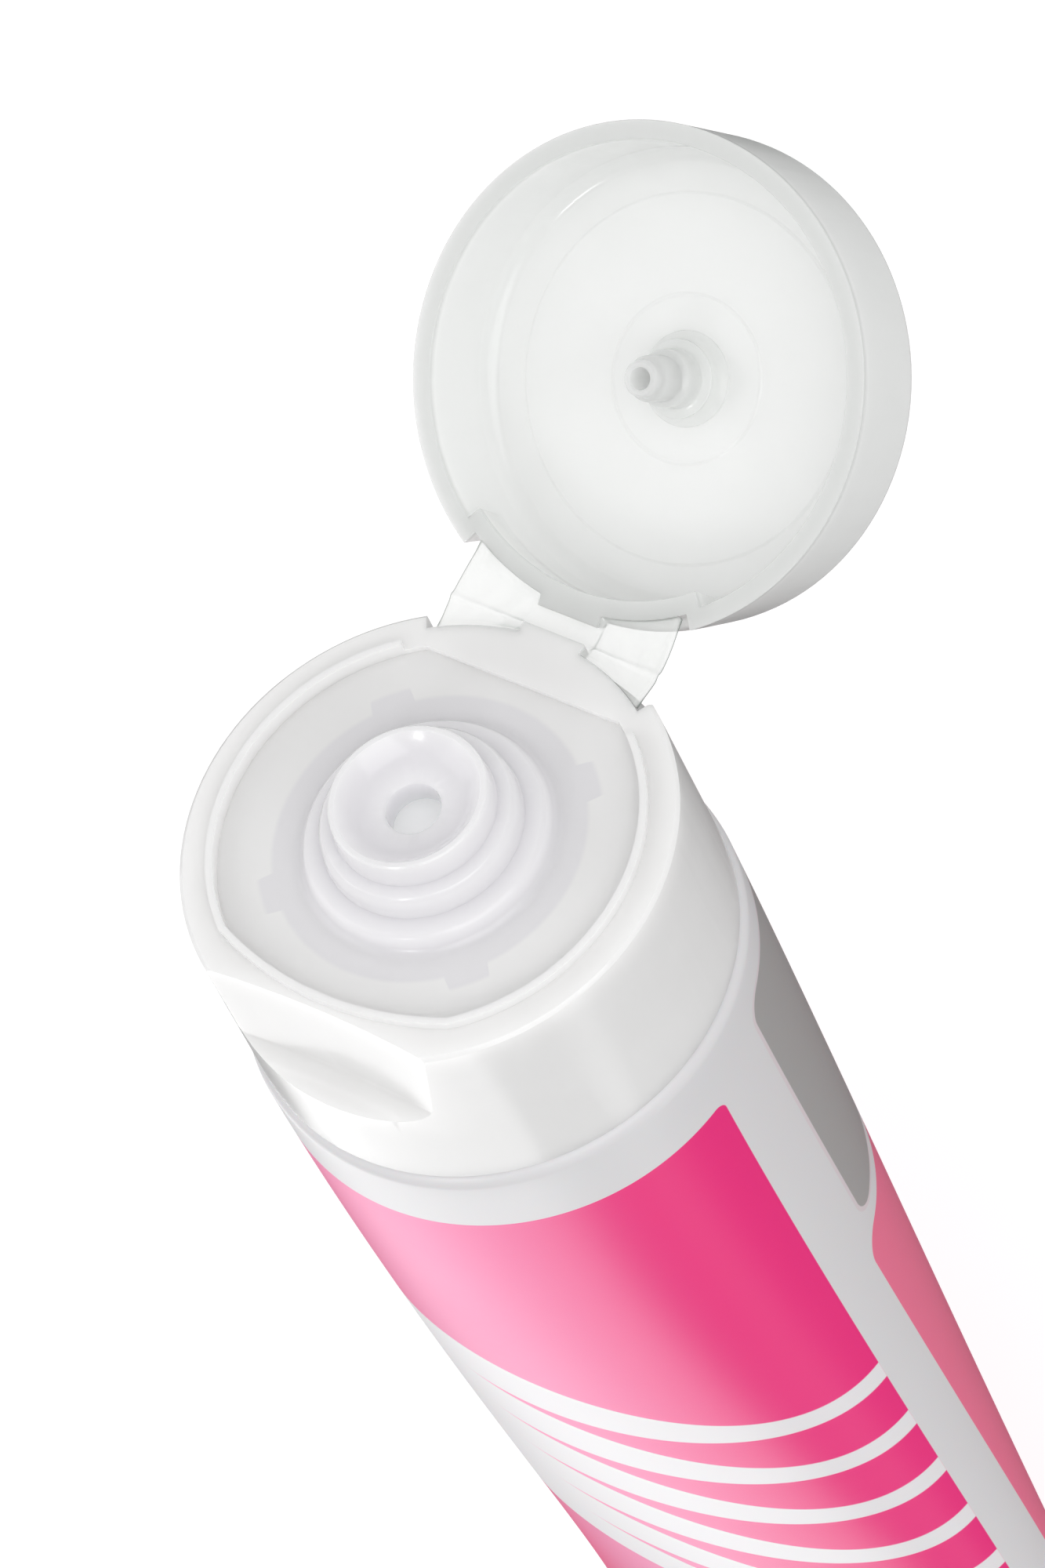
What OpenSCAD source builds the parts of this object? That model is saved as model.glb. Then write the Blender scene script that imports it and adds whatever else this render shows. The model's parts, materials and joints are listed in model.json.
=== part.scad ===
// Flip-top lubricant tube, lying on its back with its open lid propping up the cap end.
// Every piece is drawn in cap axes: the origin is the middle of the cap's flange, +Z runs out
// along the tube and +X points at the hinge. lay_down() then puts it where it rests.

/* [Tube] */
// Outer diameter of the round end of the sleeve
tube_d = 35; // [33:0.5:40]
// Length of the sleeve from its shoulder edge to the end of the seal
sleeve_len = 150; // [110:1:170]
// Thickness of the sleeve wall
sleeve_wall = 0.5; // [0.4:0.05:0.8]
// How late the tube flattens towards its seal
flatten_power = 1.7; // [1.4:0.1:2.4]
// Length of the flat welded seal
seal_len = 6; // [4:0.5:10]
// Radius of the rounded shoulder edge
shoulder_r = 1.2; // [0.9:0.1:1.6]
// Distance from the gel to the seal
gel_end_gap = 14; // [10:1:30]

/* [Head] */
// Outer radius of the neck
neck_r = 9.8; // [8:0.1:10]
// Radius of the neck's bore
neck_bore_r = 8; // [6:0.1:8.2]
// Height of the shoulder cone
cone_h = 2.7; // [1.5:0.1:4]
// Thickness of the shoulder cone
head_wall = 1.4; // [1:0.1:1.8]
// How far the four lugs stand out of the neck
lug_out = 1.0; // [0.6:0.1:1.2]
// Width of each lug
lug_w = 2.4; // [1.5:0.1:4]
// Height of each lug
lug_h = 3; // [2:0.1:4]
// Length of the head's skirt inside the sleeve
head_skirt_len = 4; // [3:0.5:6]

/* [Cap] */
// How far the cap's flange lies inside the sleeve's outer surface
cap_step = 0.5; // [0.3:0.05:0.8]
// Height of the cap's skirt
cap_h = 15.5; // [13:0.5:20]
// How much wider the skirt is at its foot, on each side
skirt_flare = 0.15; // [0:0.05:0.4]
// Thickness of the skirt
cap_wall = 1.2; // [0.9:0.1:1.4]
// Thickness of the deck
deck_t = 1.2; // [0.9:0.1:1.6]
// How far the deck lies below the flange
deck_sink = 0.5; // [0.2:0.1:1]
// Width of the flange outside the thin collar
flange_w = 2; // [1.8:0.1:2.4]
// Thickness of the collar
collar_t = 0.5; // [0.4:0.1:0.8]
// Height of the collar above the flange
collar_h = 0.7; // [0.4:0.1:1.2]
// Width of the land between the deck's straight edge and the rim at the hinge
hinge_land = 4.7; // [4:0.1:6]

/* [Nozzle] */
// Radius of the orifice
orifice_r = 1.9; // [1.7:0.1:2.5]
// Height of the nozzle's rim above the flange
nozzle_h = 4.95; // [4:0.05:6]
// Outer radius of the nozzle's rim
nozzle_r = 5.4; // [4.5:0.1:6]
// Radius of the nozzle's middle step
mid_step_r = 6.7; // [6.2:0.1:7.4]
// Radius of the nozzle's foot
foot_r = 8.4; // [7.8:0.1:9]

/* [Thumb recess] */
// How far the recess cuts into the flange at its middle
recess_cut = 2.85; // [2.6:0.05:3]
// Depth of the recess below the flange
recess_depth = 8.3; // [6:0.1:11]
// How far the recess wall leans out to its foot
recess_lean = 0.7; // [0.3:0.1:1.2]
// Radius between the recess wall and its floor
recess_bend = 2.2; // [1.5:0.1:3]
// Radius of the recess wall, seen along the axis of the cap
dish_r = 90; // [60:5:150]
// Distance from the axis to the flat arc of the deck, inside the recess
arc_front = 13.75; // [12.5:0.05:13.9]
// Radius of that flat arc
arc_r = 23.75; // [20:0.25:30]

/* [Lid] */
// Height of the lid
lid_h = 8.4; // [8:0.1:12]
// How much the lid narrows to its top, on each side
lid_taper = 0.6; // [0.2:0.1:1.2]
// Thickness of the lid's wall
lid_wall = 1.3; // [1:0.1:1.4]
// Thickness of the lid's top
lid_floor = 1.4; // [1:0.1:1.8]
// Radius of the lid's outer edge
lid_edge_r = 0.8; // [0.4:0.1:1]
// Radius of the plug where it seals the orifice
plug_r = 1.55; // [1.3:0.05:1.55]
// Radius of the hole in the plug's tip
plug_hole_r = 0.75; // [0.5:0.05:0.8]
// Radius of the small ring round the plug
small_ring_r = 5.6; // [4.5:0.1:7]
// Radius of the large ring on the lid's inner face
large_ring_r = 12.4; // [10:0.1:13]

/* [Hinge] */
// How far the hinge line lies outside the flange
hinge_out = 0.2; // [0.1:0.05:1]
// Height of the hinge line above the flange
hinge_z = -0.3; // [-0.6:0.1:0.1]
// How far the lid stands open from closed, in degrees
lid_open = 146; // [135:1:165]
// Half angle of the set-back rims at the hinge, in degrees
setback_angle = 32; // [26:1:36]
// How far the rims are set back at the hinge
setback_in = 1.1; // [0.8:0.1:1.4]
// Depth of the set-back below each rim
setback_h = 5; // [3:0.5:6]
// Thickness of the hinge film
film_t = 0.4; // [0.3:0.05:0.5]
// Half width of the bending strip
strip_half_w = 2.4; // [1.5:0.1:3]
// Half width across the two straps
strap_reach = 7.9; // [6:0.1:8.2]
// How far the outer edge of each strap curves out
strap_bulge = 0.35; // [0.1:0.05:0.6]

/* [Hidden] */
$fn = 96;
rim_gap = 0.2;       // between the closed lid and the flange
seat_gap = 0.15;     // between the cap's foot and the sleeve
weld_gap = 0.1;      // between the head and the sleeve
gel_gap = 0.3;       // between the gel and what holds it
film_gap = 0.12;     // between the hinge film and its rims
eps = 0.01;
far = 60;            // half size of a cutting block

tube_r = tube_d / 2;
cap_r = tube_r - cap_step;
cap_foot_r = cap_r + skirt_flare;
cap_inner_r = cap_r - cap_wall;
sleeve_top = -cap_h - seat_gap;
tube_end = sleeve_top - sleeve_len;
deck_z = -deck_sink;
deck_under = deck_z - deck_t;
lid_in_r = cap_r - lid_wall;
lid_top_r = cap_r - lid_taper;
collar_r = cap_r - flange_w;
chord_x = cap_r - hinge_land;
lip_x = cap_r - recess_cut;
setback_r = cap_r - setback_in;
hinge_x = cap_r + hinge_out;

// Turning the lid about the hinge line
function opened(p) = let (x = p[0] - hinge_x, z = p[2] - hinge_z)
    [x * cos(lid_open) + z * sin(lid_open) + hinge_x, p[1], -x * sin(lid_open) + z * cos(lid_open) + hinge_z];

// Where the part rests: the lid's outer edge and the corner of the seal touch the ground
seal_half_t = sleeve_wall + 0.05;
prop = opened([-(lid_top_r - lid_edge_r), 0, rim_gap + lid_h - lid_edge_r]);
prop_dx = prop[0] - seal_half_t;
prop_dz = prop[2] - tube_end;
tilt = atan2(prop_dx, prop_dz) + asin(lid_edge_r / norm([prop_dx, prop_dz]));
lift = seal_half_t * cos(tilt) - tube_end * sin(tilt);
lid_tip = opened([-cap_r, 0, rim_gap]);
x_high = lid_tip[2] * cos(tilt) + lid_tip[0] * sin(tilt);
x_low = tube_end * cos(tilt) - seal_half_t * sin(tilt);

module lay_down() {
    translate([-(x_high + x_low) / 2, 0, lift])
        rotate([0, 90 - tilt, 0])
            children();
}

module open_lid() {
    translate([hinge_x, 0, hinge_z])
        rotate([0, lid_open, 0])
            translate([-hinge_x, 0, -hinge_z])
                children();
}

// Points of an arc, for profiles
function arc(c, r, from, to, n = 6) =
    [for (i = [0 : n]) let (a = from + (to - from) * i / n) c + r * [cos(a), sin(a)]];

// The flattening sleeve: its girth stays the same all the way to the seal

tube_sides = 64;
tube_rings = 18;
loft_top = sleeve_top - shoulder_r;
loft_end = tube_end + seal_len;
function half_thick(s) = sleeve_wall + (tube_r - sleeve_wall) * (1 - pow(s, flatten_power));
function girth_factor(a, b) = let (h = pow((a - b) / (a + b), 2)) 1 + 3 * h / (10 + sqrt(4 - 3 * h));
function half_wide(b, a = -1, n = 5) =
    a < 0 ? half_wide(b, 2 * tube_r - b) :
    n == 0 ? a : half_wide(b, 2 * tube_r / girth_factor(a, b) - b, n - 1);
function section(a, b, z, flat = 1) =
    [for (i = [0 : tube_sides - 1]) let (t = 360 * i / tube_sides, c = cos(t), s = sin(t))
        [b * sign(s) * pow(abs(s), flat), a * sign(c) * pow(abs(c), flat), z]];
function loft_rings(inset, z_from, z_to) =
    [for (i = [0 : tube_rings])
        let (z = z_from + (z_to - z_from) * i / tube_rings,
             s = (loft_top - z) / (loft_top - loft_end),
             b = half_thick(s), a = half_wide(b))
        section(a - inset, max(b - inset, 0.04), z)];
function edge_rings(inset, n = 4) =
    [for (i = [0 : n - 1]) let (a = 90 * (1 - i / n), r = tube_r - shoulder_r + (shoulder_r - inset) * cos(a))
        section(r, r, loft_top + (shoulder_r - inset) * sin(a))];

// A skin round a stack of rings, closed at both ends
module ring_skin(rings) {
    count = len(rings);
    n = len(rings[0]);
    polyhedron(
        points = [for (ring = rings) for (p = ring) p],
        faces = concat(
            [[for (i = [0 : n - 1]) i]],
            [for (j = [0 : count - 2]) for (i = [0 : n - 1])
                let (k = (i + 1) % n) [j * n + i, (j + 1) * n + k, j * n + k]],
            [for (j = [0 : count - 2]) for (i = [0 : n - 1])
                let (k = (i + 1) % n) [j * n + i, (j + 1) * n + i, (j + 1) * n + k]],
            [[for (i = [n - 1 : -1 : 0]) (count - 1) * n + i]]),
        convexity = 6);
}

module tube_sleeve() {
    seal_wide = half_wide(sleeve_wall);
    outside = concat(edge_rings(0), loft_rings(0, loft_top, loft_end),
        [section(seal_wide, seal_half_t, loft_end - 0.5, 0.3), section(seal_wide, seal_half_t, tube_end, 0.3)]);
    inside = concat(edge_rings(sleeve_wall), loft_rings(sleeve_wall, loft_top, loft_end));
    mouth_r = tube_r - shoulder_r;
    color("white") lay_down() difference() {
        ring_skin(outside);
        ring_skin(concat([section(mouth_r, mouth_r, sleeve_top + 1)], inside));
    }
}

// Head: shoulder cone, neck, snap bead and lugs

head_r = tube_r - sleeve_wall - weld_gap;
neck_top = deck_under - rim_gap;
cone_z = sleeve_top - sleeve_wall - weld_gap;
bead_z = -9;
module tube_head() {
    rim_r = tube_r - shoulder_r - weld_gap;
    bevel = head_r - rim_r;
    color("whitesmoke") lay_down() {
        rotate_extrude() polygon(concat(
            [[head_r, cone_z - head_skirt_len], [head_r, cone_z - bevel], [rim_r, cone_z], [rim_r - 0.3, cone_z + 0.3]],
            [[neck_r, cone_z + cone_h], [neck_r, bead_z - 0.5], [neck_r + 0.6, bead_z], [neck_r, bead_z + 1.6],
             [neck_r, neck_top], [neck_bore_r, neck_top], [neck_bore_r, cone_z + cone_h - head_wall],
             [head_r - head_wall, cone_z - head_wall], [head_r - head_wall, cone_z - head_skirt_len]]));
        for (a = [45 : 90 : 315])
            rotate(a) translate([neck_bore_r + 1, -lug_w / 2, neck_top - lug_h])
                cube([neck_r + lug_out - neck_bore_r - 1, lug_w, lug_h]);
    }
}

// The gel stands in the neck up to the nozzle's throat, just below the tip of the closed lid's plug
plug_tip_z = rim_gap + 0.6;
gel_top = plug_tip_z - 2 * gel_gap;
module gel_fill() {
    throat_r = neck_bore_r - gel_gap;
    inner_r = head_r - head_wall - gel_gap;
    neck_foot = cone_z + cone_h - head_wall - gel_gap;
    color("aliceblue") lay_down()
        ring_skin(concat(
            [for (p = [[orifice_r, gel_top], [mid_step_r - 1.2 - gel_gap, gel_top], [mid_step_r - 1.1 - gel_gap, -0.4], [foot_r - 1.2 - gel_gap, deck_under - gel_gap],
                       [throat_r, neck_top - 0.6], [throat_r, neck_foot], [inner_r, cone_z - head_wall - gel_gap],
                       [inner_r, cone_z - head_skirt_len]])
                section(p[0], p[0], p[1])],
            loft_rings(sleeve_wall + gel_gap, cone_z - head_skirt_len - gel_gap, loft_end + gel_end_gap)));
}

// Cap base

// Outline of the sunk deck: a circle with a flatter front and a straight edge at the hinge
module deck_outline(grow = 0) {
    intersection() {
        circle(r = collar_r - collar_t + grow);
        translate([arc_r - arc_front, 0]) circle(r = arc_r - collar_t + grow);
        translate([chord_x - far, -far / 2]) square(far);
    }
}

// Sector towards the hinge, as wide as the set-back
setback_wrap = 4;    // degrees by which the wall behind the set-back overlaps the full wall
module hinge_sector(extra = 0) {
    a = setback_angle + extra;
    polygon([[0, 0], far * [cos(a), -sin(a)], far * [1, 0], far * [cos(a), sin(a)]]);
}

// Cuts the set-back for the hinge out of a rim at z_rim and closes the wall behind it. Below a
// straight step it runs out into the wall over setback_h, down for dir -1 and up for dir 1.
module set_back(z_rim, dir, wall) {
    z_step = z_rim + dir * strip_lug_h;
    z_end = z_rim + dir * setback_h;
    run_out = cap_r + skirt_flare;
    shell_r = cap_r - wall / 2;
    difference() {
        children();
        intersection() {
            translate([0, 0, z_rim - far]) linear_extrude(2 * far) hinge_sector();
            rotate_extrude() polygon([[setback_r, z_rim - dir], [setback_r, z_step], [run_out, z_end],
                [far, z_end], [far, z_rim - dir]]);
        }
    }
    intersection() {
        translate([0, 0, z_rim - far]) linear_extrude(2 * far) hinge_sector(setback_wrap);
        rotate_extrude() polygon([[setback_r - wall, z_rim], [setback_r, z_rim], [setback_r, z_step],
            [shell_r, z_step + (z_end - z_step) * (shell_r - setback_r) / (run_out - setback_r)],
            [shell_r, z_end], [cap_r - wall, z_end]]);
    }
}

// Thumb recess: a leaning wall, slightly hollow for the thumb, that bends out into a floor
module scoop() {
    bend_z = recess_bend - recess_depth;
    translate([-lip_x - dish_r, 0, 0]) rotate_extrude()
        polygon(concat([[dish_r, 1], [dish_r, 0]],
            arc([dish_r - recess_lean - recess_bend, bend_z], recess_bend, 0, -78, 6),
            [[dish_r - 30, bend_z - 2.5 * recess_bend], [dish_r - 30, 1]]));
}

module nozzle_profile() {
    polygon(concat(
        [[orifice_r, nozzle_h - 3.6], [orifice_r, nozzle_h - 1.6], [orifice_r + 0.25, nozzle_h - 1.4]],
        arc([orifice_r + 0.9, nozzle_h + 0.9], 2.2, 282, 318, 3),
        [[nozzle_r - 0.65, nozzle_h - 0.25], [nozzle_r - 0.45, nozzle_h], [nozzle_r - 0.12, nozzle_h],
         [nozzle_r, nozzle_h - 0.12], [nozzle_r + 0.2, nozzle_h - 2], [mid_step_r - 0.3, nozzle_h - 2.15],
         [mid_step_r, nozzle_h - 2.5], [mid_step_r + 0.2, 1.0], [foot_r - 0.45, 0.85], [foot_r - 0.1, 0.55]],
        [[foot_r + 0.1, deck_z + 0.4], [foot_r + 0.4, deck_z + 0.1], [foot_r + 0.8, deck_z],
         [foot_r + 0.8, deck_under], [foot_r - 1.2, deck_under]],
        [[mid_step_r - 1.1, -0.4], [mid_step_r - 1.3, nozzle_h - 3.4], [orifice_r + 1.2, nozzle_h - 3.6]]));
}

module skirt() {
    rotate_extrude() polygon([[cap_inner_r, -cap_h], [cap_foot_r, -cap_h], [cap_r, -0.25], [cap_r - 0.25, 0],
        [collar_r - collar_t - 1.5, 0], [collar_r - collar_t - 1.5, deck_under],
        [cap_inner_r - 0.4, deck_under], [cap_inner_r, deck_under - 0.4]]);
}

inner_skirt_r = neck_r + lug_out + 0.3;
inner_skirt_t = 1;
module inner_skirt() {
    rotate_extrude() polygon([[inner_skirt_r, deck_under + eps], [inner_skirt_r, bead_z - 1.4],
        [neck_r + 0.3, bead_z - 1.9], [neck_r + 0.3, bead_z - 2.2], [inner_skirt_r, bead_z - 2.9],
        [inner_skirt_r + inner_skirt_t, bead_z - 2.9], [inner_skirt_r + inner_skirt_t, deck_under + eps]]);
}

// Lug that carries the bending strip, on the rim of the cap and of the lid
lug_reach = 0.6;
strip_lug_h = 1.2;
module strip_lug(z) {
    translate([setback_r - 0.5, -strip_half_w, z]) cube([lug_reach + 0.5, 2 * strip_half_w, strip_lug_h]);
}

module cap_base() {
    color([0.88, 0.9, 0.9, 0.8]) lay_down() difference() {
        union() {
            difference() {
                set_back(0, -1, cap_wall) union() {
                    skirt();
                    translate([0, 0, deck_under]) cylinder(r = collar_r - collar_t - 1, h = deck_t + deck_sink);
                }
                translate([0, 0, deck_z]) linear_extrude(1) deck_outline();
                translate([0, 0, -far]) cylinder(r = foot_r + 0.5, h = 2 * far);
            }
            rotate_extrude() nozzle_profile();
            inner_skirt();
            // thin collar round the deck, open at the hinge
            translate([0, 0, deck_z]) linear_extrude(collar_h + deck_sink) difference() {
                deck_outline(collar_t);
                deck_outline();
                hinge_sector(setback_wrap + 2);
            }
            // wall and floor behind the thumb recess
            intersection() {
                translate([0, 0, -recess_depth - cap_wall]) cylinder(r = cap_inner_r + 0.2, h = recess_depth + cap_wall);
                translate([-far, -far, -far]) cube([far - lip_x + cap_wall, 2 * far, far]);
            }
            strip_lug(-strip_lug_h);
        }
        scoop();
    }
}

// Lid, drawn closed with its rim just above the flange

lid_top_z = rim_gap + lid_h;
lid_floor_z = lid_top_z - lid_floor;
module lid_cup() {
    rotate_extrude() polygon(concat(
        [[lid_in_r, rim_gap], [cap_r, rim_gap], [lid_top_r, lid_top_z - lid_edge_r]],
        arc([lid_top_r - lid_edge_r, lid_top_z - lid_edge_r], lid_edge_r, 0, 90, 5),
        [[0, lid_top_z], [0, lid_floor_z - 0.06], [small_ring_r - 0.2, lid_floor_z - 0.06], [small_ring_r, lid_floor_z - 0.14],
         [small_ring_r + 0.15, lid_floor_z - 0.02], [large_ring_r - 0.1, lid_floor_z - 0.02], [large_ring_r + 0.05, lid_floor_z + 0.1]],
        arc([lid_in_r - 1.6, lid_floor_z - 1.3], 1.3, 80, 8, 5)));
}

module plug() {
    tip_z = plug_tip_z;
    rotate_extrude() polygon(concat(
        [[plug_hole_r, tip_z], [plug_r - 0.45, tip_z], [plug_r - 0.3, tip_z + 0.15],
         [plug_r - 0.25, tip_z + 0.75], [plug_r, tip_z + 1.15], [plug_r, tip_z + 2.9],
         [plug_r + 0.4, tip_z + 3.2], [plug_r + 0.45, lid_floor_z - 1.6], [plug_r + 0.95, lid_floor_z - 1.45]],
        arc([plug_r + 2, lid_floor_z - 1.1], 0.95, 200, 110, 4),
        [[plug_r + 1.6, lid_floor_z + 0.3], [0, lid_floor_z + 0.3], [0, lid_floor_z - 1.5],
         [plug_hole_r, lid_floor_z - 1.5]]));
}

module lid() {
    color([0.88, 0.9, 0.9, 0.8]) lay_down() open_lid() {
        set_back(rim_gap, 1, lid_wall) lid_cup();
        plug();
        strip_lug(rim_gap);
    }
}

// Hinge film, drawn as it lies with the lid open

rim_in = 0.5;        // how far the film's middle lies behind each rim's plane
function rim_x(y) = sqrt(setback_r * setback_r - y * y) + film_gap;
function film_point(y, u, out) =
    let (a = [rim_x(y), y, -rim_in],
         b = opened([rim_x(y), y, rim_gap + rim_in]),
         along = (b - a) / norm(b - a),
         across = [-along[2], 0, along[0]])
    a + (b - a) * u - across * (0.35 * sin(180 * u) + film_t * (out - 0.5));
function strap_y(i, n, u) = let (inner = strip_half_w + 0.3, outer = strap_reach + strap_bulge * sin(180 * u))
    inner + (outer - inner) * i / n;

module hinge_strap(side) {
    n = 8;
    m = 8;
    k = 2 * m + 2;
    rings = [for (i = [0 : n]) let (r = side > 0 ? i : n - i) concat(
        [for (j = [0 : m]) film_point(side * strap_y(r, n, j / m), j / m, 0)],
        [for (j = [m : -1 : 0]) film_point(side * strap_y(r, n, j / m), j / m, 1)])];
    color([0.9, 0.93, 0.93, 0.5]) lay_down() polyhedron(
        points = [for (ring = rings) for (p = ring) p],
        faces = concat(
            [for (j = [0 : m - 1]) [j, j + 1, k - 2 - j]], [for (j = [0 : m - 1]) [j, k - 2 - j, k - 1 - j]],
            [for (i = [0 : n - 1]) for (j = [0 : k - 1])
                let (l = (j + 1) % k) [i * k + j, (i + 1) * k + l, i * k + l]],
            [for (i = [0 : n - 1]) for (j = [0 : k - 1])
                let (l = (j + 1) % k) [i * k + j, (i + 1) * k + j, (i + 1) * k + l]],
            [for (j = [0 : m - 1]) [n * k + j, n * k + k - 2 - j, n * k + j + 1]],
            [for (j = [0 : m - 1]) [n * k + j, n * k + k - 1 - j, n * k + k - 2 - j]]),
        convexity = 4);
}

module hinge_strap_left() { hinge_strap(1); }
module hinge_strap_right() { hinge_strap(-1); }

module hinge_strip() {
    root = setback_r + lug_reach + film_gap;
    a = [root, 0, -0.6];
    b = opened([root, 0, rim_gap + 0.6]);
    mid = (a + b) / 2;
    len_ab = norm(b - a);
    slope = atan2(b[2] - a[2], b[0] - a[0]);
    color([0.9, 0.93, 0.93, 0.5]) lay_down()
        translate([mid[0], 0, mid[2]]) rotate([0, -slope, 0])
            cube([len_ab, 2 * strip_half_w, film_t], center = true);
}

tube_sleeve();
tube_head();
gel_fill();
cap_base();
lid();
hinge_strip();
hinge_strap_left();
hinge_strap_right();
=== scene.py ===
"""Flip-top lubricant tube lying on its back, with its open lid under the cap end."""

import json
import math

import bmesh
import bpy
import numpy as np
from mathutils import Matrix, Vector


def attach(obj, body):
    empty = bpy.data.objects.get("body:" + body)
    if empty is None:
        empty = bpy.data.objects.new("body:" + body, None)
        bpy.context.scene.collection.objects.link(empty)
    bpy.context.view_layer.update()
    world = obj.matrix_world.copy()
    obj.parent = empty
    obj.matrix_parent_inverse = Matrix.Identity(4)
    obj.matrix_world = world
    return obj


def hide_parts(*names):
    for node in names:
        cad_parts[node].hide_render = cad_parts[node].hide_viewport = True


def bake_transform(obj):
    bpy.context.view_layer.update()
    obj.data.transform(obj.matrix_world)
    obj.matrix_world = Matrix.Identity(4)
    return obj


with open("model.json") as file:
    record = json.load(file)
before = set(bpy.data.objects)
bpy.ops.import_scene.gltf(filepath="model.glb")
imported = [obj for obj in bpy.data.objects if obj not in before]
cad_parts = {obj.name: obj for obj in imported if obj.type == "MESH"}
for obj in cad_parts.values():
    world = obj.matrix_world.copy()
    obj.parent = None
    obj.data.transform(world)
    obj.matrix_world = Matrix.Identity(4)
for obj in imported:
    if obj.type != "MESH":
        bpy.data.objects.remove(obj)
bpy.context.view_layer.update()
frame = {"nodes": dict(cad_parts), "record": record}

MM = 0.001

# Sizes of the part, in millimetres, in cap axes: the origin is the middle of the cap's flange,
# +Z runs out of the orifice and +X points at the hinge
TUBE_R = 17.5
SLEEVE_WALL = 0.5
SHOULDER_R = 1.2
SLEEVE_TOP = -15.65
SLEEVE_LEN = 150.0
SEAL_LEN = 6.0
FLATTEN_POWER = 1.7
TUBE_END = SLEEVE_TOP - SLEEVE_LEN
LOFT_TOP = SLEEVE_TOP - SHOULDER_R
LOFT_END = TUBE_END + SEAL_LEN
HALF_GIRTH = math.pi * TUBE_R

SETBACK_R = 15.9
STRIP_HALF_W = 2.6
STRAP_REACH = 7.9
STRAP_BULGE = 0.35
RIM_GAP = 0.2
LID_OPEN = 146
HINGE_X, HINGE_Z = 17.2, -0.3
ORIFICE_MID = 2.35
NECK_R = 10.7
LUG_OUT = 1.0

# Where the cap axes lie in the row frame, from the imported mount
mount = {m["name"]: m for m in frame["record"]["mounts"]}["orifice"]
OUT = Vector(mount["axis"]).normalized()
SIDE = Vector((0, 1, 0))
HINGEWARD = SIDE.cross(OUT)
CAP_ORIGIN = Vector(mount["pos_m"]) - OUT * ORIFICE_MID * MM
CAP_AXES = Matrix.Translation(CAP_ORIGIN) @ Matrix((HINGEWARD, SIDE, OUT)).transposed().to_4x4()


# Camera and stage

CAMERA_AT = (0.50855, -0.29182, 0.37090)
CAMERA_FORWARD = (-0.70962, 0.46186, -0.53209)
CAMERA_UP = (0.69441, 0.33059, -0.63914)
FOCAL_PX = 12161.6
IMAGE_H = 2000
SENSOR_MM = 36


def aimed_camera():
    data = bpy.data.cameras.new("photo_camera")
    data.sensor_fit = "VERTICAL"
    data.sensor_height = SENSOR_MM
    data.lens = SENSOR_MM * FOCAL_PX / IMAGE_H
    data.clip_end = 10
    forward = Vector(CAMERA_FORWARD).normalized()
    right = forward.cross(Vector(CAMERA_UP)).normalized()
    up = right.cross(forward)
    camera = placed("photo_camera", data)
    camera.matrix_world = Matrix.Translation(CAMERA_AT) @ Matrix((right, up, -forward)).transposed().to_4x4()
    bpy.context.scene.camera = camera


def placed(name, data):
    """A new object in the scene."""
    piece = bpy.data.objects.new(name, data)
    bpy.context.scene.collection.objects.link(piece)
    return piece


def settled_mesh(piece):
    """The piece's mesh with its modifiers applied and taken off."""
    bpy.context.view_layer.update()
    mesh = bpy.data.meshes.new_from_object(piece.evaluated_get(bpy.context.evaluated_depsgraph_get()))
    piece.modifiers.clear()
    piece.data = mesh
    return mesh


class Net:
    """A geometry or shader tree while it is wired."""

    def __init__(self, tree):
        self.tree = tree

    def put(self, socket, value):
        if isinstance(value, bpy.types.NodeSocket):
            self.tree.links.new(value, socket)
        elif value is not None:
            socket.default_value = value

    def add(self, kind, ins=(), **settings):
        node = self.tree.nodes.new(kind)
        for key, value in settings.items():
            setattr(node, key, value)
        for key, value in ins.items() if isinstance(ins, dict) else enumerate(ins):
            self.put(node.inputs[key], value)
        return node

    def math(self, operation, *values, clamp=False):
        return self.add("ShaderNodeMath", values, operation=operation, use_clamp=clamp).outputs[0]

    def ramp(self, value, low, high, to_low=0.0, to_high=1.0):
        """value mapped smoothly from low..high to to_low..to_high, and held outside."""
        node = self.add("ShaderNodeMapRange", (value, low, high, to_low, to_high))
        node.interpolation_type = "SMOOTHSTEP"
        return node.outputs[0]

    def blend(self, share, a, b):
        node = self.add("ShaderNodeMix", data_type="RGBA")
        for key, value in ((0, share), (6, a), (7, b)):
            self.put(node.inputs[key], value)
        return node.outputs[2]


def glow_by_ray(net, camera, mirrored, through, other):
    """How strongly the stage glows for the camera, in mirrored and looked-through views, and as light."""
    path = net.add("ShaderNodeLightPath").outputs
    glow = other
    for ray, value in (("Is Transmission Ray", through), ("Is Glossy Ray", mirrored), ("Is Camera Ray", camera)):
        glow = net.add("ShaderNodeMix", (path[ray], None, glow, value), data_type="FLOAT").outputs[0]
    return glow


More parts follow.
